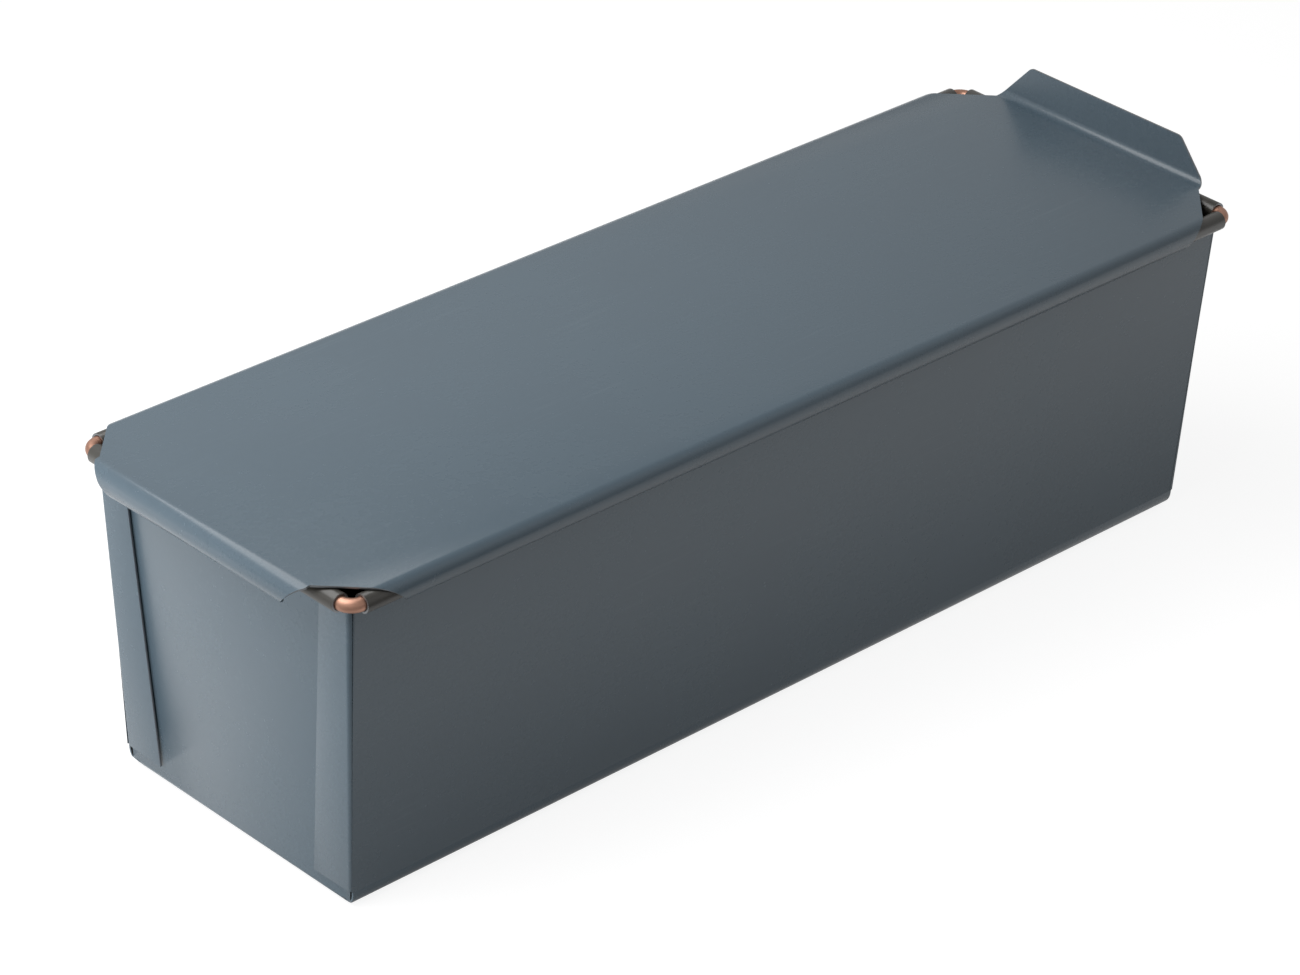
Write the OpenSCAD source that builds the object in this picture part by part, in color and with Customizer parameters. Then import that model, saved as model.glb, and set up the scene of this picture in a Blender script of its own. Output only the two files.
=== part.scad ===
// Pullman loaf pan: a straight-sided bread tin whose flat lid slides on along the rim.
// Millimetres. X runs along the pan, from the stop end (-X) to the grip end (+X),
// Y runs across it and Z points up. The origin is the middle of the underside.

/* [Rim] */
// Length of the rim, between the wire's centres at the two ends
rim_l = 303.2; // [160:0.1:450]
// Width of the rim, between the wire's centres on the two sides
rim_w = 97.2; // [70:0.1:200]
// Height of the wire's centre above the underside
rim_h = 88.9; // [50:0.1:150]
// Diameter of the rim wire
wire_d = 3.6; // [3:0.1:5]
// Radius of the wire's centre line round a corner
wire_bend_r = 3.4; // [2.9:0.1:9]
// Play between the wire and the sheet rolled round it
roll_play = 0.1; // [0.05:0.01:0.3]
// How far the sheet is rolled round the wire, in degrees
roll_turn = 265; // [220:1:280]

/* [Walls] */
// Thickness of the sheet that the pan and its lid are made of
sheet = 0.6; // [0.5:0.05:1]
// Outward lean of the walls, in degrees
draft = 2.6; // [1:0.1:4]
// Outer radius of the bend from the bottom into a long side
floor_bend_r = 4; // [2.5:0.1:8]
// Outer radius of the upright bend at each corner
corner_bend_r = 1.3; // [1.1:0.1:4]

/* [Corner flaps] */
// Width at the top of the flap that laps each edge of an end wall
flap_top_w = 10.5; // [8:0.1:20]
// Width of the same flap at its foot
flap_foot_w = 13.6; // [8:0.1:25]
// Height of the flap's foot above the underside
flap_foot = 5; // [3:0.5:15]
// Gap between a flap and the end wall under it
lap_gap = 0.1; // [0.05:0.05:0.3]
// Gap between the top of a flap and the rolled rim above it
flap_top_gap = 0.3; // [0.1:0.1:2]

/* [End walls] */
// How far the foot of an end wall reaches in over the bottom
foot_w = 9; // [5:0.5:20]
// Outer radius of the bend from an end wall into its foot
foot_bend_r = 1; // [0.9:0.1:3]
// How far the bottom stops short of the end wall's face, under that bend
foot_in = 1.1; // [0.5:0.1:2]

/* [Lid] */
// Gap between the lid and the rolled rim that it slides along
lid_gap = 0.2; // [0.15:0.05:0.8]
// How much wider the curl at the stop end is, in radius, than the curls along the sides
curl_room = 0.7; // [0:0.1:2]
// How far the curl at the stop end stands off, so that the lid is just short of its stop
stop_gap = 3.7; // [0:0.1:5]
// How far the tab's bend starts beyond the wire at the grip end
fold_gap = 1.7; // [0:0.1:4]
// How far each curl turns from the flat of the lid, in degrees
curl_turn = 165; // [120:1:175]
// Legs of the cut corners at the stop end, along the pan and across it
stop_cut_l = 9.8; // [6:0.1:14]
stop_cut_w = 8.8; // [6:0.1:14]
// Legs of the cut corners at the grip end, from the foot of the tab's bend
grip_cut = 11.8; // [8:0.1:18]

/* [Grip tab] */
// Height of the tab over the flat of the lid
tab_h = 11; // [8:0.5:20]
// How far the tab leans out from upright, in degrees
tab_lean = 2; // [0:1:20]
// Inner radius of the bend at the foot of the tab
tab_bend_r = 2; // [1:0.1:4]
// Width of the tab along its top edge
tab_top_w = 54; // [30:1:60]
// Radius of the tab's two top corners
tab_corner_r = 2; // [1:0.5:6]

/* [Hidden] */
$fn = 64;
// Overrun of every cut past what it cuts
over = 5;
coat = "#6f7c86";
shade_coat = "#59636c";
copper = "#c58f6c";

// The rolled rim: inner and outer radius of the sheet round the wire
roll_in = wire_d / 2 + roll_play;
roll_r = roll_in + sheet;
// The rolls stop where the wire starts to bend
roll_half_l = rim_l / 2 - wire_bend_r;
roll_half_w = rim_w / 2 - wire_bend_r;
// Outer faces of the walls, at the height of the wire's centre
side_y = rim_w / 2 - roll_in / cos(draft);
flap_x = rim_l / 2 - (roll_in - sheet - lap_gap) / cos(draft);
flap_top = rim_h - roll_r - flap_top_gap;
// The flats run this far into the upright bends, so that sheet and bend are one
flat_lap = 0.1;
flat_end = corner_bend_r - flat_lap;
// The lid: outer radius of its curls, top face, and where its flat ends
side_curl_r = roll_r + lid_gap + sheet;
stop_curl_r = side_curl_r + curl_room;
lid_top = rim_h + side_curl_r;
stop_x = rim_l / 2 + stop_gap;
fold_x = rim_l / 2 + fold_gap;
// How far a cut corner draws back down each curl, for each unit outwards and down
side_mitre = [0.97, 1.02];
stop_mitre = [0.6, 0.75];
// Below a curl's middle it draws back faster, which frees the edge that is turned in
relief = [0, 2.4];

// Half the width of a leaning wall at height z, a given depth inside its outer face
function wall_at(half, z, depth = 0) = half - (rim_h - z) * tan(draft) - depth / cos(draft);

// Unit vector from p towards q
function towards(p, q) = (q - p) / norm(q - p);

// What rounding takes off the corner p of an outline, between its neighbours a and b
module corner_waste(p, a, b, r) {
    along_a = towards(p, a);
    along_b = towards(p, b);
    half_angle = acos(along_a * along_b) / 2;
    reach = r / tan(half_angle);
    centre = p + towards([0, 0], along_a + along_b) * r / sin(half_angle);
    translate(centre) difference() {
        // Drawn twice as far out as it needs, so that it clears the outline's own edges
        polygon(concat([[0, 0]], 2 * [for (q = [p + along_a * reach, p, p + along_b * reach]) q - centre]));
        circle(r);
    }
}

// Cross-section of sheet bent round the origin, anticlockwise from one angle to another
module bend(r_out, from, to) {
    steps = ceil((to - from) / 45);
    intersection() {
        difference() {
            circle(r_out);
            circle(r_out - sheet);
        }
        polygon(concat([[0, 0]], [for (i = [0:steps])
            let (a = from + (to - from) * i / steps) 2 * r_out * [cos(a), sin(a)]]));
    }
}

// Draws an outline of Y and Z out along X, or an outline of X and Z out along Y
module along_x(l) rotate([90, 0, 90]) linear_extrude(l, center = true) children();
module along_y(l) rotate([90, 0, 0]) linear_extrude(l, center = true) children();

// Outline between two leaning walls, from height z0 up to height z1
module between_walls(half, depth, z0, z1) {
    low = wall_at(half, z0, depth);
    high = wall_at(half, z1, depth);
    polygon([[-low, z0], [low, z0], [high, z1], [-high, z1]]);
}

// The same outline with its two bottom bends
module rounded_section(depth, top) {
    low = wall_at(side_y, depth, depth);
    high = wall_at(side_y, top, depth);
    difference() {
        between_walls(side_y, depth, depth, top);
        for (side = [-1, 1])
            corner_waste([side * low, depth], [0, depth], [side * high, top], floor_bend_r - depth);
    }
}

// Section of the bottom and the two long sides, with their rolled rims
module side_section() {
    difference() {
        rounded_section(0, rim_h);
        rounded_section(sheet, rim_h + over);
    }
    for (side = [0, 1])
        mirror([side, 0]) translate([rim_w / 2, rim_h]) bend(roll_r, 180 - roll_turn, 180);
}

// Where that sheet ends, seen from the side: along the bend of the end wall's foot, at the
// end wall's face up to the flaps, at the upright bends beside them, and clear of the bent
// wire above them
module sheet_ends() {
    foot_z = sheet + foot_bend_r;
    foot_x = wall_at(flap_x, foot_z, sheet);
    edge = [
        [foot_x - foot_in, -over],
        [foot_x - foot_in, 0],
        [foot_x, foot_z],
        [wall_at(flap_x, flap_foot, sheet), flap_foot],
        [wall_at(flap_x, flap_foot, flat_end), flap_foot],
        [wall_at(flap_x, flap_top, flat_end), flap_top],
        [roll_half_l, flap_top],
        [roll_half_l, rim_h + 2 * roll_r]
    ];
    last = len(edge) - 1;
    polygon(concat(edge, [for (i = [0:last]) [-edge[last - i].x, edge[last - i].y]]));
}

// Leaning slab that faces along +X, between two depths inside the outer face
module leaning_slab(half, outer, inner, z0, z1) {
    polygon([
        [wall_at(half, z0, inner), z0], [wall_at(half, z0, outer), z0],
        [wall_at(half, z1, outer), z1], [wall_at(half, z1, inner), z1]
    ]);
}

// One upright bend and the flap that it turns over the edge of the end wall
module corner_flap() {
    tall = rim_h + 2 * over;
    intersection() {
        along_y(rim_w + over) leaning_slab(flap_x, -over, corner_bend_r, flap_foot, flap_top);
        along_x(rim_l + over) leaning_slab(side_y, -over, corner_bend_r, flap_foot, flap_top);
        translate([wall_at(flap_x, 0, corner_bend_r), wall_at(side_y, 0, corner_bend_r), 0])
            rotate(a = atan(sqrt(2) * tan(draft)), v = [-1, 1, 0])
                translate([0, 0, -over]) difference() {
                    cylinder(r = corner_bend_r, h = tall);
                    translate([0, 0, -over]) cylinder(r = corner_bend_r - sheet, h = tall + 2 * over);
                }
    }
    intersection() {
        along_y(rim_w + over) leaning_slab(flap_x, 0, sheet, flap_foot, flap_top);
        along_x(rim_l + over) polygon([
            [wall_at(side_y, flap_foot, flap_foot_w), flap_foot], [wall_at(side_y, flap_foot, flat_end), flap_foot],
            [wall_at(side_y, flap_top, flat_end), flap_top], [wall_at(side_y, flap_top, flap_top_w), flap_top]
        ]);
    }
}

// Bottom, two long sides with their rolled rims, and the four flaps, all from one sheet
module trough() {
    color(shade_coat) {
        intersection() {
            along_x(rim_l + over) side_section();
            along_y(rim_w + 2 * over) sheet_ends();
        }
        for (mx = [0, 1], my = [0, 1])
            mirror([mx, 0, 0]) mirror([0, my, 0]) corner_flap();
    }
}

// Outline of an end wall seen along the pan
module end_outline() {
    // The wall runs on into the part that is rolled, so that the two are one
    top = flap_top + flat_lap;
    intersection() {
        rounded_section(sheet, top);
        between_walls(side_y, corner_bend_r, 0, top);
    }
    translate([-roll_half_w, flap_top]) square([2 * roll_half_w, rim_h + roll_r - flap_top]);
}

// Section of the grip end's wall: foot, bend, leaning wall and rolled rim
module end_section() {
    outer = sheet + lap_gap;
    inner = outer + sheet;
    bend_z = sheet + foot_bend_r;
    bend_x = wall_at(flap_x, bend_z, outer + foot_bend_r);
    foot_x = wall_at(flap_x, sheet, inner + foot_w);
    polygon([[foot_x, sheet], [bend_x, sheet], [bend_x, 2 * sheet], [foot_x, 2 * sheet]]);
    translate([bend_x, bend_z]) bend(foot_bend_r, -90, -draft);
    polygon([
        [bend_x + foot_bend_r * cos(draft), bend_z - foot_bend_r * sin(draft)],
        [wall_at(flap_x, rim_h, outer), rim_h],
        [wall_at(flap_x, rim_h, inner), rim_h],
        [bend_x + (foot_bend_r - sheet) * cos(draft), bend_z - (foot_bend_r - sheet) * sin(draft)]
    ]);
    translate([rim_l / 2, rim_h]) bend(roll_r, 180 - roll_turn, 180);
}

module end_wall() {
    color(coat) intersection() {
        along_y(rim_w) end_section();
        along_x(rim_l + 4 * roll_r) end_outline();
    }
}

module grip_end_wall() end_wall();

module stop_end_wall() mirror([1, 0, 0]) end_wall();

// One wire, bent to a closed loop inside the rolled rim
module rim_wire() {
    color(copper) translate([0, 0, rim_h]) {
        for (side = [-1, 1]) {
            translate([0, side * rim_w / 2, 0]) rotate([0, 90, 0])
                cylinder(d = wire_d, h = 2 * roll_half_l, center = true);
            translate([side * rim_l / 2, 0, 0]) rotate([90, 0, 0])
                cylinder(d = wire_d, h = 2 * roll_half_w, center = true);
        }
        for (mx = [0, 1], my = [0, 1])
            mirror([mx, 0, 0]) mirror([0, my, 0]) translate([roll_half_l, roll_half_w, 0])
                rotate_extrude(angle = 90) translate([wire_bend_r, 0]) circle(d = wire_d);
    }
}

// Takes off what lies beyond a plane through the origin that draws back by these shares
module plane_cut(share) {
    slope = norm([1, share[0], share[1]]);
    big = rim_w;
    rotate([0, asin(share[1] / slope), -atan(share[0])])
        translate([0, -big / 2, -big / 2]) cube(big);
}

// Takes the end of a curl off along its mitre, from the point where the flat ends
module mitre_cut(r, mitre) {
    plane_cut(mitre);
    translate([-r * (mitre[0] + mitre[1]), -r, -r]) plane_cut(relief);
}

// A curl along X that turns out and down from the flat, with mitred ends at x0 and x1
module curl(r, mitre, x0, x1) {
    difference() {
        translate([(x0 + x1) / 2, 0, -r]) along_x(x1 - x0) bend(r, 90, 90 + curl_turn);
        translate([x1, 0, 0]) mitre_cut(r, mitre);
        translate([x0, 0, 0]) mirror([1, 0, 0]) mitre_cut(r, mitre);
    }
}

// Outline of the lid's flat, seen from above
module lid_outline() {
    y = rim_w / 2;
    polygon([
        [-stop_x, stop_cut_w - y], [stop_cut_l - stop_x, -y],
        [fold_x - grip_cut, -y], [fold_x, grip_cut - y],
        [fold_x, y - grip_cut], [fold_x - grip_cut, y],
        [stop_cut_l - stop_x, y], [-stop_x, y - stop_cut_w]
    ]);
}

// Section of the tab: the bend up from the flat, then the leaning tab
module tab_section() {
    mid_x = fold_x;
    mid_z = lid_top + tab_bend_r;
    top_z = lid_top + tab_h;
    run = (top_z - mid_z + tab_bend_r * sin(tab_lean)) / cos(tab_lean);
    translate([mid_x, mid_z]) bend(tab_bend_r + sheet, -90, -tab_lean);
    translate([mid_x, mid_z]) rotate(-tab_lean) translate([tab_bend_r, 0]) square([sheet, run]);
}

// Outline of the tab, seen along the pan
module tab_outline() {
    low = rim_w / 2 - grip_cut;
    high = tab_top_w / 2;
    z0 = lid_top - sheet;
    z1 = lid_top + tab_h;
    difference() {
        polygon([[-low, z0], [low, z0], [high, z1], [-high, z1]]);
        for (side = [-1, 1])
            corner_waste([side * high, z1], [0, z1], [side * low, z0], tab_corner_r);
    }
}

// Lid from one sheet: the flat, a curl along three of its edges, and the grip tab
module lid() {
    color(coat) {
        translate([0, 0, lid_top - sheet]) linear_extrude(sheet) lid_outline();
        for (side = [0, 1])
            mirror([0, side, 0]) translate([0, -rim_w / 2, lid_top])
                curl(side_curl_r, side_mitre, stop_cut_l - stop_x, fold_x - grip_cut);
        translate([-stop_x, 0, lid_top]) rotate(-90)
            curl(stop_curl_r, stop_mitre, stop_cut_w - rim_w / 2, rim_w / 2 - stop_cut_w);
        intersection() {
            along_y(rim_w) tab_section();
            along_x(2 * rim_l) tab_outline();
        }
    }
}

trough();
stop_end_wall();
grip_end_wall();
rim_wire();
lid();
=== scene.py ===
# %% [markdown]
# # A loaf pan with a slide-on lid
# The pan is folded from coated steel sheet round a copper-plated wire. The sheet is blue-grey
# on its outside and brown-grey on its inside, and the rolled rim turns the inside outwards.
# Its sheets could be solid plates with rounded edges. Here each is modelled as its outer face
# only, folded flat by flat as a brake press would do it, and gets its thickness at the end,
# because that keeps each bend round and each wall even.
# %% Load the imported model
import math

import bmesh
import bpy
from mathutils import Euler, Matrix, Vector


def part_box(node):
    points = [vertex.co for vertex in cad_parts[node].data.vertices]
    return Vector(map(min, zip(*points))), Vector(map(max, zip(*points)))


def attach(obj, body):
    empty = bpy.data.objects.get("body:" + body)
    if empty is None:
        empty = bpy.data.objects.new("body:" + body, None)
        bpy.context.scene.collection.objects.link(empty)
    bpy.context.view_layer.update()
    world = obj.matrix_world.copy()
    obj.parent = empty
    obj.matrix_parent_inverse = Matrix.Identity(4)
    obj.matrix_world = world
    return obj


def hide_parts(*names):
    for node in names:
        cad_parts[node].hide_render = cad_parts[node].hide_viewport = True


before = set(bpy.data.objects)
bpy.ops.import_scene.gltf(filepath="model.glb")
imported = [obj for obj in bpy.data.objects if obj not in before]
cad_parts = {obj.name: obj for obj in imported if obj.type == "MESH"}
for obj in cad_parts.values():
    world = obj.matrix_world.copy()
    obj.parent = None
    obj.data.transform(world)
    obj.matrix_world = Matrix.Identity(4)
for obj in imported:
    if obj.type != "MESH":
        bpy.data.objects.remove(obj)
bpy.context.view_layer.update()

# %% [markdown]
# ## Places and sizes
# The rim wire is the pan's backbone, so most places follow from it. They could be typed in as
# numbers, but taken from the wire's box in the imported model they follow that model. The box
# gives the wire's radius and the loop that its centre line makes. The other sizes are those of
# the real sheet, in millimetres times MM, and each stands in the cell that needs it first.
# Lengths that differ by less than NEAR count as the same.
# %% Places of the rim wire
MM = 0.001
NEAR = 0.02 * MM
WIRE_BEND = 3.4 * MM
wire_low, wire_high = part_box("rim_wire")
WIRE_R = (wire_high[2] - wire_low[2]) / 2
RIM_X = wire_high[0] - WIRE_R
RIM_Y = wire_high[1] - WIRE_R
RIM_Z = wire_high[2] - WIRE_R
print("rim", round(2 * RIM_X / MM, 2), "by", round(2 * RIM_Y / MM, 2), "at", round(RIM_Z / MM, 2))

# %% Places of the rolls and walls
SHEET = 0.6 * MM
PLAY = 0.1 * MM
LAP_GAP = 0.1 * MM
DRAFT = math.radians(2.6)
ROLL_IN = WIRE_R + PLAY
ROLL_R = ROLL_IN + SHEET
ROLL_HALF_L = RIM_X - WIRE_BEND
ROLL_HALF_W = RIM_Y - WIRE_BEND
SIDE_Y = RIM_Y - ROLL_IN / math.cos(DRAFT)
FLAP_X = RIM_X - (ROLL_IN - SHEET - LAP_GAP) / math.cos(DRAFT)


def wall_at(half, z, depth=0.0):
    """Half the width between two leaning walls at height z, a depth inside their faces."""
    return half - (RIM_Z - z) * math.tan(DRAFT) - depth / math.cos(DRAFT)


print("rolls", round(2 * ROLL_R / MM, 2), "thick, bottom", round(2 * wall_at(SIDE_Y, 0) / MM, 2), "wide")

# %% [markdown]
# ## The camera
# The photograph looks down on the near corner with a long lens, so the edges hardly converge.
# The camera could be placed by eye, but along edges this straight and long even half a degree
# shows, so its angles and distance were worked out from the pan's own edges.
# %% Camera
CAM_AZIMUTH = math.radians(-44.24)
CAM_ELEVATION = math.radians(30.15)
CAM_ROLL = math.radians(1.85)
CAM_DISTANCE = 1.2762
CAM_TARGET = Vector((-0.0114, -0.0011, 0.0468))
CAM_LENS = 138.9
turn = Euler((math.pi / 2 - CAM_ELEVATION, 0, CAM_AZIMUTH)).to_matrix() @ Matrix.Rotation(CAM_ROLL, 3, "Z")
bpy.ops.object.camera_add(location=CAM_TARGET + turn @ Vector((0, 0, CAM_DISTANCE)),
                          rotation=turn.to_euler())
camera = bpy.context.object
camera.name = "camera"
camera.data.lens = CAM_LENS
camera.data.clip_start = 0.05
camera.data.clip_end = 20
bpy.context.scene.camera = camera
print("camera at", [round(v, 3) for v in camera.location])

# %% [markdown]
# ## Shader helpers
# Node trees are easier to read when one call adds a node with its settings and its inputs.
# An input may be a plain value or the output of another node. The kinds of node that come
# back most have a shorter call of their own, which gives the node's result.
# %% Nodes in one call


def add_node(tree, kind, inputs=None, **settings):
    """Add a node, set its properties, and set or link its inputs by name or number."""
    made = tree.nodes.new(kind)
    for name, value in settings.items():
        setattr(made, name, value)
    for name, value in (inputs or {}).items():
        if isinstance(value, bpy.types.NodeSocket):
            tree.links.new(value, made.inputs[name])
        else:
            made.inputs[name].default_value = value
    return made


def maths(tree, operation, *values):
    """Work one sum out, and give its result."""
    return add_node(tree, "ShaderNodeMath", dict(enumerate(values)), operation=operation).outputs[0]


def ramp(tree, value, start, end, first, last):
    """Turn a value that runs from start to end into one that runs from first to last."""
    return add_node(tree, "ShaderNodeMapRange", {0: value, 1: start, 2: end, 3: first, 4: last}).outputs[0]


def noise(tree, place, scale, detail, roughness=0.5):
    """Give the value of a noise texture."""
    return add_node(tree, "ShaderNodeTexNoise", {"Vector": place, "Scale": scale, "Detail": detail,
                                                 "Roughness": roughness}).outputs["Fac"]


def split_place(tree, kind):
    """Give the X, Y and Z of one kind of coordinates."""
    place = add_node(tree, "ShaderNodeTexCoord").outputs[kind]
    return add_node(tree, "ShaderNodeSeparateXYZ", {0: place}).outputs


def ray_kinds(tree):
    """Tell whether a ray comes from the camera, and whether it was mirrored or let through."""
    path = add_node(tree, "ShaderNodeLightPath").outputs
    return path["Is Camera Ray"], maths(tree, "MAXIMUM", path["Is Glossy Ray"], path["Is Transmission Ray"])


def new_group(name, ins, outs):
    """Start a shader node group with named inputs and outputs."""
    tree = bpy.data.node_groups.new(name, "ShaderNodeTree")
    for label, kind, value in ins:
        tree.interface.new_socket(label, in_out="INPUT", socket_type=kind).default_value = value
    for label, kind in outs:
        tree.interface.new_socket(label, in_out="OUTPUT", socket_type=kind)
    return tree, tree.nodes.new("NodeGroupInput"), tree.nodes.new("NodeGroupOutput")


# %% [markdown]
# ## Light, floor and backdrop
# The pan stands on a white table. A low panel close on the left lights the end wall, and one
# wide soft lamp above the near left end lights the lid, which is why the lid darkens towards
# its tab. Beyond that only the right-hand side of the room gives soft light.
# Lamps alone could light a matt pan. The satin coat also mirrors all that is round it, so the world stands
# for a room that is dimmer straight above, in front and low on the right. In the table's mirror image,
# painted shade darkens it in front of the pan, and a painted shadow of the pan darkens it along the long
# side.
# The white of the table comes from its own glow for camera and mirror rays only, so that it
# doesn't light the pan.
# %% World
ABOVE = 0.5
FRONT = 0.85
LOW_RIGHT = 0.65
LEFT = 1.35
SOFT_RIGHT = 0.80
world = bpy.data.worlds.new("studio")
bpy.context.scene.world = world
world.use_nodes = True
tree = world.node_tree
tree.nodes.clear()
look = split_place(tree, "Generated")
above = ramp(tree, look["Z"], 0.60, 0.82, 1.0, ABOVE)
front = ramp(tree, look["Y"], -0.35, 0.25, FRONT, 1.0)
low = ramp(tree, maths(tree, "MULTIPLY_ADD", look["X"], -0.5, look["Z"]), 0.05, 0.22, LOW_RIGHT, 1.0)
left = ramp(tree, look["X"], -0.72, -0.40, LEFT, 1.0)
room = maths(tree, "MULTIPLY", maths(tree, "MULTIPLY", maths(tree, "MULTIPLY", above, front), low), left)
soft = ramp(tree, maths(tree, "SUBTRACT", look["X"], look["Y"]), -0.3, 1.2, 0.0, SOFT_RIGHT)
from_camera, mirrored = ray_kinds(tree)
lit = add_node(tree, "ShaderNodeMix", {"Factor": mirrored, "A": soft, "B": room}).outputs[0]
shown = add_node(tree, "ShaderNodeMix", {"Factor": from_camera, "A": lit, "B": 1.0}).outputs[0]
sky = add_node(tree, "ShaderNodeBackground", {"Strength": shown})
add_node(tree, "ShaderNodeOutputWorld", {"Surface": sky.outputs[0]})
print("world has", len(tree.nodes), "nodes")

# %% Floor
FLOOR_SIZE = 6.0
FLOOR_COLOUR = (0.28, 0.28, 0.28, 1)
FLOOR_GLOW = 0.86
MIRROR_GLOW = 0.78
FRONT_GLOW = 0.15
bpy.ops.object.select_all(action="DESELECT")
bpy.ops.mesh.primitive_plane_add(size=FLOOR_SIZE, location=(0, 0, 0))
floor = bpy.context.object
floor.name = "floor"
paint = bpy.data.materials.new("white table")
paint.use_nodes = True
tree = paint.node_tree
tree.nodes.clear()
spot = split_place(tree, "Object")
from_camera, mirrored = ray_kinds(tree)
# Painted shade: mirror rays see the table dimmed in front of the pan, and darker beside the long side as a
# painted shadow of the pan.
front_shade = ramp(tree, maths(tree, "ADD", spot["X"], spot["Y"]), -0.33, -0.24, FRONT_GLOW, MIRROR_GLOW)
from_side = maths(tree, "ABSOLUTE", maths(tree, "ADD", spot["Y"], 0.05))
pan_shadow = ramp(tree, from_side, 0.0, 0.075, 0.55, 1.12)
mirror_glow = maths(tree, "MULTIPLY", mirrored, maths(tree, "MULTIPLY", front_shade, pan_shadow))
camera_glow = maths(tree, "MULTIPLY", from_camera, FLOOR_GLOW)
shine = add_node(tree, "ShaderNodeEmission", {"Strength": maths(tree, "ADD", camera_glow, mirror_glow)})
matt = add_node(tree, "ShaderNodeBsdfDiffuse", {"Color": FLOOR_COLOUR})
both = add_node(tree, "ShaderNodeAddShader", {0: matt.outputs[0], 1: shine.outputs[0]})
add_node(tree, "ShaderNodeOutputMaterial", {"Surface": both.outputs[0]})
floor.data.materials.append(paint)
print("floor is", FLOOR_SIZE, "m wide")

# %% Lamps


def soft_lamp(name, place, aim, size, power, in_gloss):
    """A rectangular soft lamp that shines from a place towards an aim."""
    look = (Vector(aim) - Vector(place)).to_track_quat("-Z", "Y").to_euler()
    bpy.ops.object.light_add(type="AREA", location=place, rotation=look)
    lamp = bpy.context.object
    lamp.name = name
    lamp.data.shape = "RECTANGLE"
    lamp.data.size, lamp.data.size_y = size
    lamp.data.energy = power
    lamp.visible_camera = False
    lamp.visible_glossy = in_gloss
    print(name, "at", place, "gives", power, "W")


soft_lamp("left panel", (-0.42, 0.11, 0.05), (-0.15, 0.0, 0.05), (0.46, 0.10), 1.15, in_gloss=False)
soft_lamp("overhead", (-0.27, 0.15, 0.55), (-0.15, 0.02, 0.0), (0.7, 0.46), 4.0, in_gloss=True)
bpy.context.scene.view_settings.view_transform = "Standard"

# %% [markdown]
# ## Finishes
# The coating is sprayed and baked: an even colour with a faint mottle, a very fine orange
# peel, and a sheet under it that is never quite flat. One plain colour would do from afar, but
# the large flats would look like card. The inside and the outside coat share these effects, so
# they are one group. Rub marks from stacking and sliding are a second group, which the bare
# metals use too.
# %% Sprayed coat group
coat_group, enters, leaves = new_group("sprayed coat", [
    ("Colour", "NodeSocketColor", (0.5, 0.5, 0.5, 1)), ("Mottle", "NodeSocketFloat", 0.1),
    ("Roughness", "NodeSocketFloat", 0.4), ("Peel", "NodeSocketFloat", 0.1),
    ("Waves", "NodeSocketFloat", 0.1),
], [("Colour", "NodeSocketColor"), ("Roughness", "NodeSocketFloat"), ("Normal", "NodeSocketVector")])
tree = coat_group
given = enters.outputs
place = add_node(tree, "ShaderNodeTexCoord").outputs["Object"]
cloud = noise(tree, place, 22, 4, 0.55)
fleck = noise(tree, place, 420, 3, 0.6)
patchy = add_node(tree, "ShaderNodeMix", {"Factor": 0.35, "A": cloud, "B": fleck}).outputs[0]
amount = maths(tree, "MULTIPLY", maths(tree, "SUBTRACT", patchy, 0.5), given["Mottle"])
level = maths(tree, "ADD", amount, 1.0)
tint = add_node(tree, "ShaderNodeVectorMath", {0: given["Colour"], "Scale": level}, operation="SCALE")
gloss = maths(tree, "ADD", amount, given["Roughness"])
waves = noise(tree, place, 14, 1, 0.4)
waved = add_node(tree, "ShaderNodeBump", {"Height": waves, "Distance": 0.004, "Strength": given["Waves"]})
peel = noise(tree, place, 1300, 2)
peeled = add_node(tree, "ShaderNodeBump", {"Height": peel, "Distance": 0.00006, "Strength": given["Peel"],
                                           "Normal": waved.outputs[0]})
tree.links.new(tint.outputs[0], leaves.inputs["Colour"])
tree.links.new(gloss, leaves.inputs["Roughness"])
tree.links.new(peeled.outputs[0], leaves.inputs["Normal"])
print("sprayed coat has", len(tree.nodes), "nodes")

# %% Rub mark group
rub_group, enters, leaves = new_group("rub marks", [
    ("Stretch", "NodeSocketVector", (30, 900, 900)), ("Amount", "NodeSocketFloat", 0.5),
], [("Mask", "NodeSocketFloat")])
tree = rub_group
given = enters.outputs
place = add_node(tree, "ShaderNodeTexCoord").outputs["Object"]
drawn = add_node(tree, "ShaderNodeVectorMath", {0: place, 1: given["Stretch"]}, operation="MULTIPLY")
sharp = ramp(tree, noise(tree, drawn.outputs[0], 1, 3), 0.56, 0.74, 0.0, 1.0)
there = ramp(tree, noise(tree, place, 35, 2), 0.45, 0.65, 0.0, 1.0)
faded = maths(tree, "MULTIPLY", maths(tree, "MULTIPLY", sharp, there), given["Amount"])
tree.links.new(faded, leaves.inputs["Mask"])
print("rub marks have", len(tree.nodes), "nodes")

# %% [markdown]
# A coat material mixes the rub marks into the sprayed coat as slightly lighter lines. The
# marks could be drawn one by one, but noise gives as many as the pan needs, and none twice.
# The same function makes the outside and the inside coat, because they differ only in values.
# The bare metals take the rub marks as fine lines in their colour, gloss and surface.
# %% Coats
COAT_PEEL = 0.25
COAT_RUB = 0.35
COAT_IOR = 1.5


def new_material(name):
    """Start a material, and give it with its node tree and its surface."""
    made = bpy.data.materials.new(name)
    made.use_nodes = True
    return made, made.node_tree, made.node_tree.nodes["Principled BSDF"]


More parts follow.
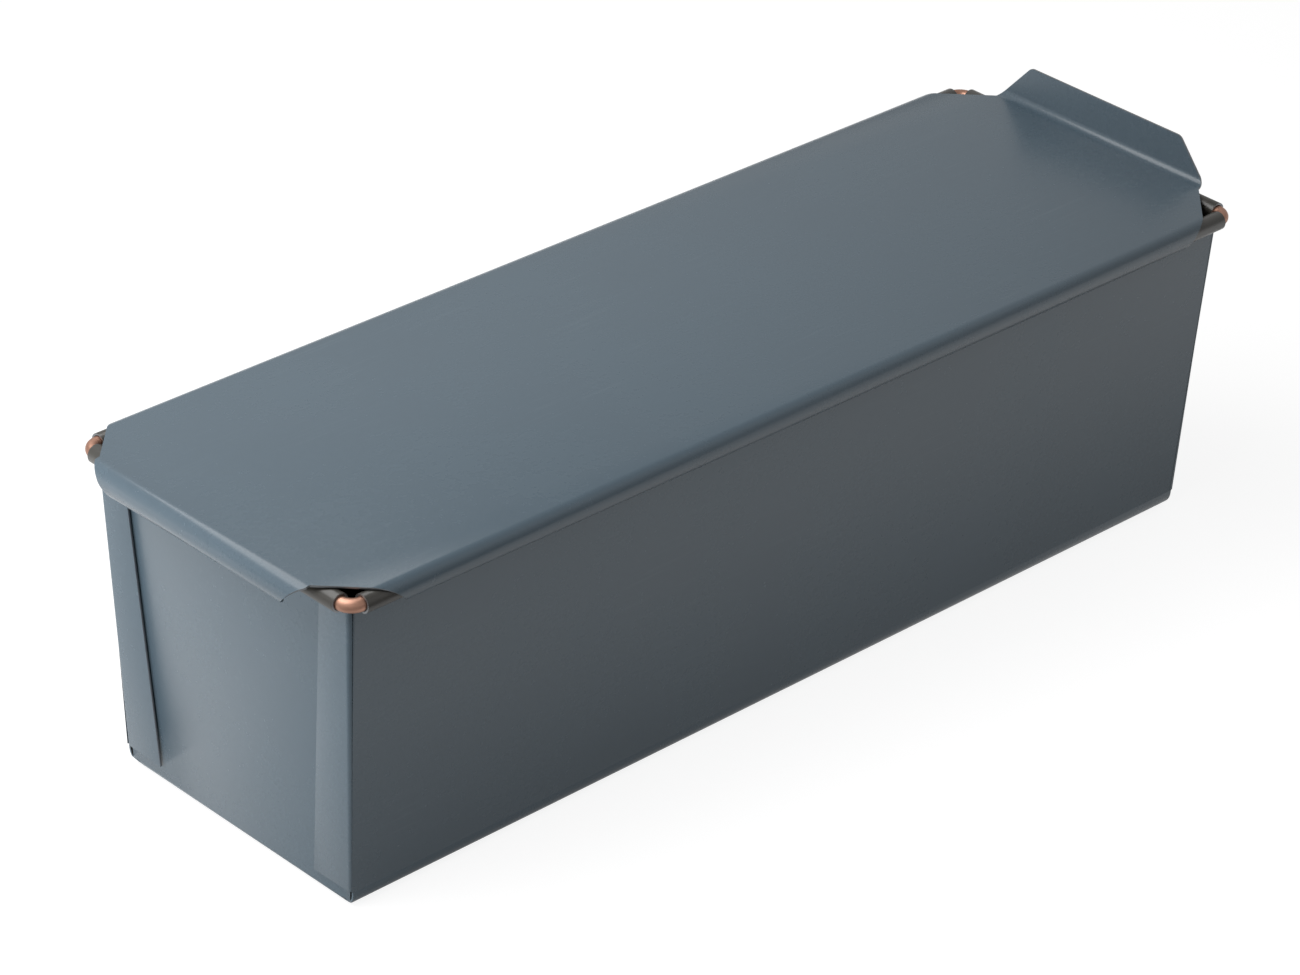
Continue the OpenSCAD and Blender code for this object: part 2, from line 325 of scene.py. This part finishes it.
def coat(name, colour, rubbed, roughness, mottle, waves):
    """Material of a baked coat: its colour, the colour it rubs to, and how rough it is."""
    made, tree, skin = new_material(name)
    spray = add_node(tree, "ShaderNodeGroup", {"Colour": (*colour, 1), "Mottle": mottle,
                                               "Roughness": roughness, "Peel": COAT_PEEL,
                                               "Waves": waves}, node_tree=coat_group)
    rub = add_node(tree, "ShaderNodeGroup", {"Amount": COAT_RUB}, node_tree=rub_group)
    worn = add_node(tree, "ShaderNodeMix", {"Factor": rub.outputs["Mask"], 6: spray.outputs["Colour"],
                                            7: (*rubbed, 1)}, data_type="RGBA")
    tree.links.new(worn.outputs[2], skin.inputs["Base Color"])
    tree.links.new(spray.outputs["Roughness"], skin.inputs["Roughness"])
    tree.links.new(spray.outputs["Normal"], skin.inputs["Normal"])
    skin.inputs["IOR"].default_value = COAT_IOR
    print("made", name)
    return made


outer_coat = coat("blue-grey coat", (0.077, 0.112, 0.141), (0.11, 0.15, 0.18), 0.27, 0.16, 0.10)
inner_coat = coat("brown-grey coat", (0.042, 0.040, 0.035), (0.08, 0.076, 0.07), 0.30, 0.20, 0.05)

# %% Bare metals
METAL_RUB = 0.9
RUBBED_DULLER = 0.2


def metal(name, colour, worn, roughness, stretch):
    """Material of a bare metal with fine drawing lines."""
    made, tree, skin = new_material(name)
    skin.inputs["Metallic"].default_value = 1.0
    rub = add_node(tree, "ShaderNodeGroup", {"Stretch": stretch, "Amount": METAL_RUB}, node_tree=rub_group)
    mask = rub.outputs["Mask"]
    tone = add_node(tree, "ShaderNodeMix", {"Factor": mask, 6: (*colour, 1), 7: (*worn, 1)}, data_type="RGBA")
    gloss = ramp(tree, mask, 0.0, 1.0, roughness, roughness + RUBBED_DULLER)
    dent = add_node(tree, "ShaderNodeBump", {"Height": mask, "Distance": 0.00002, "Strength": 0.4})
    tree.links.new(tone.outputs[2], skin.inputs["Base Color"])
    tree.links.new(gloss, skin.inputs["Roughness"])
    tree.links.new(dent.outputs[0], skin.inputs["Normal"])
    print("made", name)
    return made


cut_edge = metal("cut steel edge", (0.22, 0.23, 0.24), (0.15, 0.155, 0.16), 0.45, (900, 900, 900))
copper = metal("copper plating", (0.42, 0.235, 0.17), (0.32, 0.16, 0.11), 0.46, (500, 500, 500))

# %% [markdown]
# ## Folding sheet
# A few small helpers do what a brake press, a shear and a rolling tool do. Boolean cuts could
# shape the ends, but they leave ragged faces in thin sheet, and these helpers keep every face
# a clean strip. Each works in edit mode on one object. `fold` turns the picked edges round an
# axis, `run` draws them straight on, and `score` splits faces along a plane without taking
# anything away, so that `trim` can then delete whole faces by their place.
# %% Picking


def put_down():
    """Leave edit mode with nothing selected."""
    if bpy.context.object and bpy.context.object.mode == "EDIT":
        bpy.ops.object.mode_set(mode="OBJECT")
    bpy.ops.object.select_all(action="DESELECT")


def pick(test, kind="EDGE"):
    """Select the edges or faces of the edited mesh whose vertices all pass a test of place."""
    bpy.ops.mesh.select_mode(type=kind)
    bpy.ops.mesh.select_all(action="DESELECT")
    mesh = bmesh.from_edit_mesh(bpy.context.object.data)
    chosen = [part for part in (mesh.edges if kind == "EDGE" else mesh.faces)
              if all(test(v.co) for v in part.verts)]
    for part in chosen:
        part.select_set(True)
    mesh.select_flush_mode()
    bmesh.update_edit_mesh(bpy.context.object.data)
    return len(chosen)


# %% Folding and trimming


def fold(centre, axis, degrees, steps):
    """Turn the picked edges round an axis, right-handed, and leave the last ones picked."""
    bpy.ops.mesh.spin(steps=steps, angle=-math.radians(degrees), center=centre, axis=axis)


def run(way):
    """Draw the picked edges straight on."""
    bpy.ops.mesh.extrude_region_move(TRANSFORM_OT_translate={"value": way})


def score(point, normal, test=lambda co: True):
    """Split the faces that pass a test along a plane."""
    pick(test, "FACE")
    bpy.ops.mesh.bisect(plane_co=point, plane_no=normal)


def trim(test):
    """Delete the faces whose middle passes a test."""
    bpy.ops.mesh.select_mode(type="FACE")
    bpy.ops.mesh.select_all(action="DESELECT")
    mesh = bmesh.from_edit_mesh(bpy.context.object.data)
    for face in mesh.faces:
        face.select_set(test(face.calc_center_median()))
    bmesh.update_edit_mesh(bpy.context.object.data)
    bpy.ops.mesh.delete(type="FACE")


def move_foot(way):
    """Move the lower end of the edge that was drawn last, so that it leans."""
    mesh = bmesh.from_edit_mesh(bpy.context.object.data)
    foot = min((v for v in mesh.verts if v.select), key=lambda v: v.co.z)
    foot.co += way
    bmesh.update_edit_mesh(bpy.context.object.data)


def new_flat(name, low, high, z):
    """Start a sheet as one flat face between two corners, in edit mode."""
    put_down()
    bpy.ops.mesh.primitive_plane_add(size=1, location=(0, 0, 0))
    made = bpy.context.object
    made.name = name
    bpy.ops.object.mode_set(mode="EDIT")
    bpy.ops.transform.resize(value=(high[0] - low[0], high[1] - low[1], 1))
    bpy.ops.transform.translate(value=((high[0] + low[0]) / 2, (high[1] + low[1]) / 2, z))
    return made


# %% [markdown]
# Real sheet has one thickness all over. Both of its faces could be folded by hand, but they
# would drift apart in the bends, so Solidify grows the sheet inwards from the modelled face.
# The grown side takes the inside coat and the rim takes the bare cut edge. A tiny bevel breaks
# those edges, as the shear leaves them, so that they catch a line of light.
# %% Thickness
EDGE_BREAK = 0.1 * MM
BROKEN_ANGLE = 50
SMOOTH_ANGLE = 35


def give_thickness(obj, seen_point, sprayed=lambda middle: False):
    """Turn the modelled face outwards at a known face, then grow and finish the sheet."""
    bpy.ops.mesh.select_mode(type="FACE")
    bpy.ops.mesh.select_all(action="SELECT")
    bpy.ops.mesh.remove_doubles(threshold=NEAR / 4)
    bpy.ops.mesh.normals_make_consistent(inside=False)
    bpy.ops.object.mode_set(mode="OBJECT")
    point, way = Vector(seen_point[0]), Vector(seen_point[1])
    face = min(obj.data.polygons, key=lambda f: (f.center - point).length)
    if face.normal.dot(way) < 0:
        bpy.ops.object.mode_set(mode="EDIT")
        bpy.ops.mesh.select_all(action="SELECT")
        bpy.ops.mesh.flip_normals()
        bpy.ops.object.mode_set(mode="OBJECT")
    for finish in (outer_coat, inner_coat, cut_edge):
        obj.data.materials.append(finish)
    thick = obj.modifiers.new("gauge", "SOLIDIFY")
    thick.thickness = SHEET
    thick.offset = -1
    thick.use_even_offset = True
    thick.material_offset = 1
    thick.material_offset_rim = 2
    bpy.ops.object.modifier_apply(modifier=thick.name)
    broken = obj.modifiers.new("broken edges", "BEVEL")
    broken.width = EDGE_BREAK
    broken.segments = 2
    broken.limit_method = "ANGLE"
    broken.angle_limit = math.radians(BROKEN_ANGLE)
    broken.use_clamp_overlap = True
    bpy.ops.object.modifier_apply(modifier=broken.name)
    for face in obj.data.polygons:
        if face.material_index == 2 and sprayed(face.center):
            face.material_index = 0
    bpy.ops.object.shade_smooth_by_angle(angle=math.radians(SMOOTH_ANGLE))
    print(obj.name, "has", len(obj.data.polygons), "faces")


# %% [markdown]
# ## Rim wire
# One copper-plated wire closes the rim, straight along each side and bent round each corner,
# and shows where the rolled sheet stops short of the bends. It could be a curve with a round
# section. A ring of vertices that is run and folded four times, until the last ring meets the
# first, keeps the straights and the bends exactly as long as the rolls need them.
# %% Rim wire
WIRE_SIDES = 32
WIRE_STEPS = 14
put_down()
bpy.ops.mesh.primitive_circle_add(vertices=WIRE_SIDES, radius=WIRE_R, location=(ROLL_HALF_L, RIM_Y, RIM_Z),
                                  rotation=(0, math.pi / 2, 0))
wire = bpy.context.object
wire.name = "rim_wire_copper"
bpy.ops.object.transform_apply(location=True, rotation=True, scale=True)
bpy.ops.object.mode_set(mode="EDIT")
bpy.ops.mesh.select_all(action="SELECT")
for way, centre in (((-2 * ROLL_HALF_L, 0, 0), (-ROLL_HALF_L, ROLL_HALF_W, RIM_Z)),
                    ((0, -2 * ROLL_HALF_W, 0), (-ROLL_HALF_L, -ROLL_HALF_W, RIM_Z)),
                    ((2 * ROLL_HALF_L, 0, 0), (ROLL_HALF_L, -ROLL_HALF_W, RIM_Z)),
                    ((0, 2 * ROLL_HALF_W, 0), (ROLL_HALF_L, ROLL_HALF_W, RIM_Z))):
    run(way)
    fold(centre, (0, 0, 1), 90, WIRE_STEPS)
bpy.ops.mesh.select_all(action="SELECT")
bpy.ops.mesh.remove_doubles(threshold=NEAR)
bpy.ops.mesh.normals_make_consistent(inside=False)
bpy.ops.object.mode_set(mode="OBJECT")
wire.data.materials.append(copper)
bpy.ops.object.shade_smooth()
print("wire has", len(wire.data.polygons), "faces, box", [round(v / MM, 2) for v in wire.dimensions])

# %% [markdown]
# ## Trough
# The bottom, both long sides and the four corner flaps are one sheet. The flaps could be plates
# laid on the end walls, but folded on from the sides they keep the upright corners round.
# The flat bottom is folded up along both long edges, drawn up as the side walls, and rolled
# round the wire. The rolls stop where the wire bends, so the sheet is scored and trimmed there.
# Then the upright edges that are left beside the end walls are folded round the corners to
# make the four flaps. They spring back a little, as a hand-closed lap does.
# %% Trough walls and rolls
FLOOR_BEND = 4 * MM
FLOOR_STEPS = 12
ROLL_TURN = 265
ROLL_STEPS = 30
bend_y = wall_at(SIDE_Y, FLOOR_BEND, FLOOR_BEND)
trough = new_flat("trough_sheet", (-RIM_X, -bend_y), (RIM_X, bend_y), 0)
for side in (-1, 1):
    pick(lambda co: side * co.y > bend_y - NEAR)
    fold((0, side * bend_y, FLOOR_BEND), (side, 0, 0), 90 - math.degrees(DRAFT), FLOOR_STEPS)
    reach = (RIM_Z - FLOOR_BEND + (FLOOR_BEND + ROLL_IN) * math.sin(DRAFT)) / math.cos(DRAFT)
    run((0, side * reach * math.sin(DRAFT), reach * math.cos(DRAFT)))
    fold((0, side * RIM_Y, RIM_Z), (-side, 0, 0), ROLL_TURN - math.degrees(DRAFT), ROLL_STEPS)

# %% Trough ends
CORNER_BEND = 1.3 * MM
FOOT_BEND = 1 * MM
FOOT_IN = 1.1 * MM
FLAP_FOOT = 5 * MM
FLAP_TOP_GAP = 0.3 * MM
FLAP_TOP = RIM_Z - ROLL_R - FLAP_TOP_GAP
foot_z = SHEET + FOOT_BEND
foot_end_x = wall_at(FLAP_X, foot_z, SHEET)
for z in (foot_z, FLAP_FOOT, FLAP_TOP):
    score((0, 0, z), (0, 0, 1))
for end in (-1, 1):
    lean = (math.cos(DRAFT), 0, -end * math.sin(DRAFT))
    score((end * foot_end_x, 0, foot_z), (end, 0, -FOOT_IN / foot_z), lambda co: co.z < foot_z + NEAR)
    score((end * wall_at(FLAP_X, 0, SHEET), 0, 0), lean, lambda co: foot_z - NEAR < co.z < FLAP_FOOT + NEAR)
    score((end * wall_at(FLAP_X, 0, CORNER_BEND), 0, 0), lean,
          lambda co: FLAP_FOOT - NEAR < co.z < FLAP_TOP + NEAR)
    score((end * ROLL_HALF_L, 0, 0), (1, 0, 0), lambda co: co.z > FLAP_TOP - NEAR)


def past_trough_end(middle):
    """Whether a face's middle lies past where the trough's sheet stops."""
    if middle.z > FLAP_TOP:
        return abs(middle.x) > ROLL_HALF_L
    if middle.z < foot_z:
        return abs(middle.x) > foot_end_x - FOOT_IN * (1 - middle.z / foot_z)
    depth = SHEET if middle.z < FLAP_FOOT else CORNER_BEND
    return abs(middle.x) > wall_at(FLAP_X, middle.z, depth)


trim(past_trough_end)
print("trough's bottom stops at", round((foot_end_x - FOOT_IN) / MM, 2))

# %% Corner flaps
FLAP_TOP_W = 10.5 * MM
FLAP_FOOT_W = 13.6 * MM
FLAP_SPRING = 1.0
FLAP_STEPS = 10
for end in (-1, 1):
    for side in (-1, 1):
        found = pick(lambda co: (end * co.x > wall_at(FLAP_X, co.z, CORNER_BEND) - NEAR and side * co.y > 0
                                 and FLAP_FOOT - NEAR < co.z < FLAP_TOP + NEAR
                                 and end * co.x < wall_at(FLAP_X, co.z, CORNER_BEND) + NEAR))
        print("flap edges", found)
        fold((end * wall_at(FLAP_X, 0, CORNER_BEND), side * wall_at(SIDE_Y, 0, CORNER_BEND), 0),
             (end * math.tan(DRAFT), side * math.tan(DRAFT), 1), -end * side * (90 - FLAP_SPRING), FLAP_STEPS)
        spring = math.radians(FLAP_SPRING)
        way = Vector((end * math.sin(spring), -side * math.cos(spring), 0))
        run(way * (FLAP_TOP_W - CORNER_BEND))
        move_foot(way * (FLAP_FOOT_W - FLAP_TOP_W))
give_thickness(trough, ((0, 0, 0), (0, 0, -1)), lambda middle: middle.z < FLAP_FOOT)

# %% [markdown]
# ## End walls
# Each end of the pan is a panel of its own, closed in by the flaps. It starts as its foot, which
# lies on the bottom inside the pan, is folded up into the wall and rolled round the wire, and
# its upright edges are trimmed to lean with the side walls. Both ends could be modelled, but
# they are pressed alike, so the second is a copy of the first turned round.
# %% Grip end wall
FOOT_W = 9 * MM
FOOT_STEPS = 8
outer_depth = SHEET + LAP_GAP
turn_z = SHEET + FOOT_BEND
turn_x = wall_at(FLAP_X, turn_z, outer_depth + FOOT_BEND)
foot_x = wall_at(FLAP_X, SHEET, outer_depth + SHEET + FOOT_W)
grip_wall = new_flat("grip_end_wall_sheet", (foot_x, -RIM_Y), (turn_x, RIM_Y), SHEET)
pick(lambda co: co.x > turn_x - NEAR)
fold((turn_x, 0, turn_z), (0, -1, 0), 90 - math.degrees(DRAFT), FOOT_STEPS)
reach = (RIM_Z - turn_z + (FOOT_BEND + ROLL_IN) * math.sin(DRAFT)) / math.cos(DRAFT)
run((reach * math.sin(DRAFT), 0, reach * math.cos(DRAFT)))
fold((RIM_X, 0, RIM_Z), (0, 1, 0), ROLL_TURN - math.degrees(DRAFT), ROLL_STEPS)
score((0, 0, FLAP_TOP), (0, 0, 1))
for side in (-1, 1):
    score((0, side * ROLL_HALF_W, 0), (0, 1, 0), lambda co: co.z > FLAP_TOP - NEAR)
    score((0, side * bend_y, 0), (0, 1, 0), lambda co: co.z < turn_z)
    score((0, side * wall_at(SIDE_Y, 0, CORNER_BEND), 0), (0, math.cos(DRAFT), -side * math.sin(DRAFT)),
          lambda co: turn_z - SHEET < co.z < FLAP_TOP + NEAR)


def past_end_wall(middle):
    """Whether a face's middle lies past the upright edges of an end wall."""
    if middle.z > FLAP_TOP:
        return abs(middle.y) > ROLL_HALF_W
    if middle.z < turn_z:
        return abs(middle.y) > bend_y
    return abs(middle.y) > wall_at(SIDE_Y, middle.z, CORNER_BEND)


trim(past_end_wall)
give_thickness(grip_wall, ((RIM_X, 0, RIM_Z / 2), (1, 0, 0)))

# %% Stop end wall
put_down()
grip_wall.select_set(True)
bpy.context.view_layer.objects.active = grip_wall
bpy.ops.object.duplicate()
stop_wall = bpy.context.object
stop_wall.name = "stop_end_wall_sheet"
bpy.ops.object.mode_set(mode="EDIT")
bpy.ops.mesh.select_all(action="SELECT")
bpy.ops.transform.rotate(value=math.pi, orient_axis="Z", center_override=(0, 0, 0))
bpy.ops.object.mode_set(mode="OBJECT")
print(stop_wall.name, "reaches x", round(min(v.co.x for v in stop_wall.data.vertices) / MM, 2))

# %% [markdown]
# ## Lid
# The lid is one sheet with its four corners sheared off. Its long edges and its stop end are
# turned under the rim as curls, and the other end is turned up as the grip tab. The curls
# could be tubes set against a plate, but then a seam would show on the flat. Because the real
# corners are sheared before the bending, the cut runs on down each curl as a slope, and up
# both sides of the tab. The tab's top corners are blunt, so rounding them starts only about
# half the radius away from each.
# %% Lid's places
LID_GAP = 0.2 * MM
CURL_ROOM = 0.7 * MM
STOP_GAP = 3.7 * MM
FOLD_GAP = 1.7 * MM
SIDE_CURL_R = ROLL_R + LID_GAP + SHEET
STOP_CURL_R = SIDE_CURL_R + CURL_ROOM
LID_TOP = RIM_Z + SIDE_CURL_R
STOP_X = RIM_X + STOP_GAP
FOLD_X = RIM_X + FOLD_GAP
print("lid top at", round(LID_TOP / MM, 2))

# %% Lid flat
STOP_CUT_L = 9.8 * MM
STOP_CUT_W = 8.8 * MM
GRIP_CUT = 11.8 * MM
lid = new_flat("lid_sheet", (-STOP_X, -RIM_Y), (FOLD_X, RIM_Y), LID_TOP)
for end, far, leg_l, leg_w in ((-1, STOP_X, STOP_CUT_L, STOP_CUT_W), (1, FOLD_X, GRIP_CUT, GRIP_CUT)):
    for side in (-1, 1):
        score((end * (far - leg_l), side * RIM_Y, 0), (end, side * leg_l / leg_w, 0))
    trim(lambda m: (far - end * m.x) / leg_l + (RIM_Y - abs(m.y)) / leg_w < 1)
print("lid flat is", round((STOP_X + FOLD_X) / MM, 1), "by", round(2 * RIM_Y / MM, 1))

# %% Curls
CURL_TURN = 165
CURL_STEPS = 26
for side in (-1, 1):
    pick(lambda co: side * co.y > RIM_Y - NEAR)
    fold((0, side * RIM_Y, LID_TOP - SIDE_CURL_R), (-side, 0, 0), CURL_TURN, CURL_STEPS)
pick(lambda co: co.x < -STOP_X + NEAR)
fold((-STOP_X, 0, LID_TOP - STOP_CURL_R), (0, -1, 0), CURL_TURN, CURL_STEPS)
print("curls are", round(SIDE_CURL_R / MM, 2), "and", round(STOP_CURL_R / MM, 2), "in radius")

# %% Grip tab
TAB_H = 11 * MM
TAB_LEAN = 2
TAB_BEND = 2 * MM
TAB_STEPS = 12
pick(lambda co: co.x > FOLD_X - NEAR)
fold((FOLD_X, 0, LID_TOP + TAB_BEND), (0, -1, 0), 90 - TAB_LEAN, TAB_STEPS)
lean = math.radians(TAB_LEAN)
reach = (TAB_H - TAB_BEND + TAB_BEND * math.sin(lean)) / math.cos(lean)
run((reach * math.sin(lean), 0, reach * math.cos(lean)))
print("tab is", round(reach / MM, 2), "high over its bend")

# %% Mitres and sides of the tab
SIDE_MITRE = (0.97, 1.02)
STOP_MITRE = (0.6, 0.75)
RELIEF_SHARE = 2.4
TAB_TOP_W = 54 * MM


def cut_off(normal, point, part):
    """Score one part of the sheet along a plane and drop what lies past it."""
    score(point, normal, part)
    trim(lambda m: part(m) and Vector(normal).dot(m - Vector(point)) > 0)


def mitre(along, out, corner, radius, shares, part):
    """Cut one end of a curl off along its mitre, and more steeply below its middle."""
    along, out, corner = Vector(along), Vector(out), Vector(corner)
    down = Vector((0, 0, -1))
    cut_off(along + shares[0] * out + shares[1] * down, corner, part)
    late = corner - radius * sum(shares) * along + radius * down
    cut_off(along + RELIEF_SHARE * down, late, lambda co: part(co) and co.z < late.z + 0.1 * MM)


for side in (-1, 1):
    for end, x in ((-1, STOP_CUT_L - STOP_X), (1, FOLD_X - GRIP_CUT)):
        mitre((end, 0, 0), (0, side, 0), (x, side * RIM_Y, LID_TOP), SIDE_CURL_R, SIDE_MITRE,
              lambda co: side * co.y > RIM_Y - NEAR)
    mitre((0, side, 0), (-1, 0, 0), (-STOP_X, side * (RIM_Y - STOP_CUT_W), LID_TOP), STOP_CURL_R, STOP_MITRE,
          lambda co: co.x < -STOP_X + NEAR)
    low = RIM_Y - GRIP_CUT
    cut_off((0, side, (low - TAB_TOP_W / 2) / TAB_H), (FOLD_X, side * low, LID_TOP),
            lambda co: co.x > FOLD_X - NEAR)

# %% Tab corners
TAB_CORNER = 2 * MM
CORNER_STEPS = 6
bpy.ops.mesh.select_mode(type="VERT")
bpy.ops.mesh.select_all(action="DESELECT")
mesh = bmesh.from_edit_mesh(lid.data)
for vert in mesh.verts:
    vert.select_set(vert.co.z > LID_TOP + TAB_H - NEAR)
bmesh.update_edit_mesh(lid.data)
bpy.ops.mesh.bevel(affect="VERTICES", offset=TAB_CORNER / 2, offset_type="OFFSET",
                   segments=CORNER_STEPS)
give_thickness(lid, ((0, 0, LID_TOP), (0, 0, 1)))

# %% [markdown]
# ## Hand the pieces to the frame
# Each modelled piece stands for one node of the imported model and moves with its body. The imported meshes
# could be shown as they are, but they have coarser bends and only one finish each, so every piece here
# replaces its node, which is hidden.
# %% Bodies, nodes and slots
for piece, body, node_name, slot in (
        (trough, "pan", "trough", "pan_coat"), (stop_wall, "pan", "stop_end_wall", "pan_coat"),
        (grip_wall, "pan", "grip_end_wall", "pan_coat"), (wire, "pan", "rim_wire", "copper_wire"),
        (lid, "lid", "lid", "lid_coat")):
    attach(piece, body)
    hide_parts(node_name)
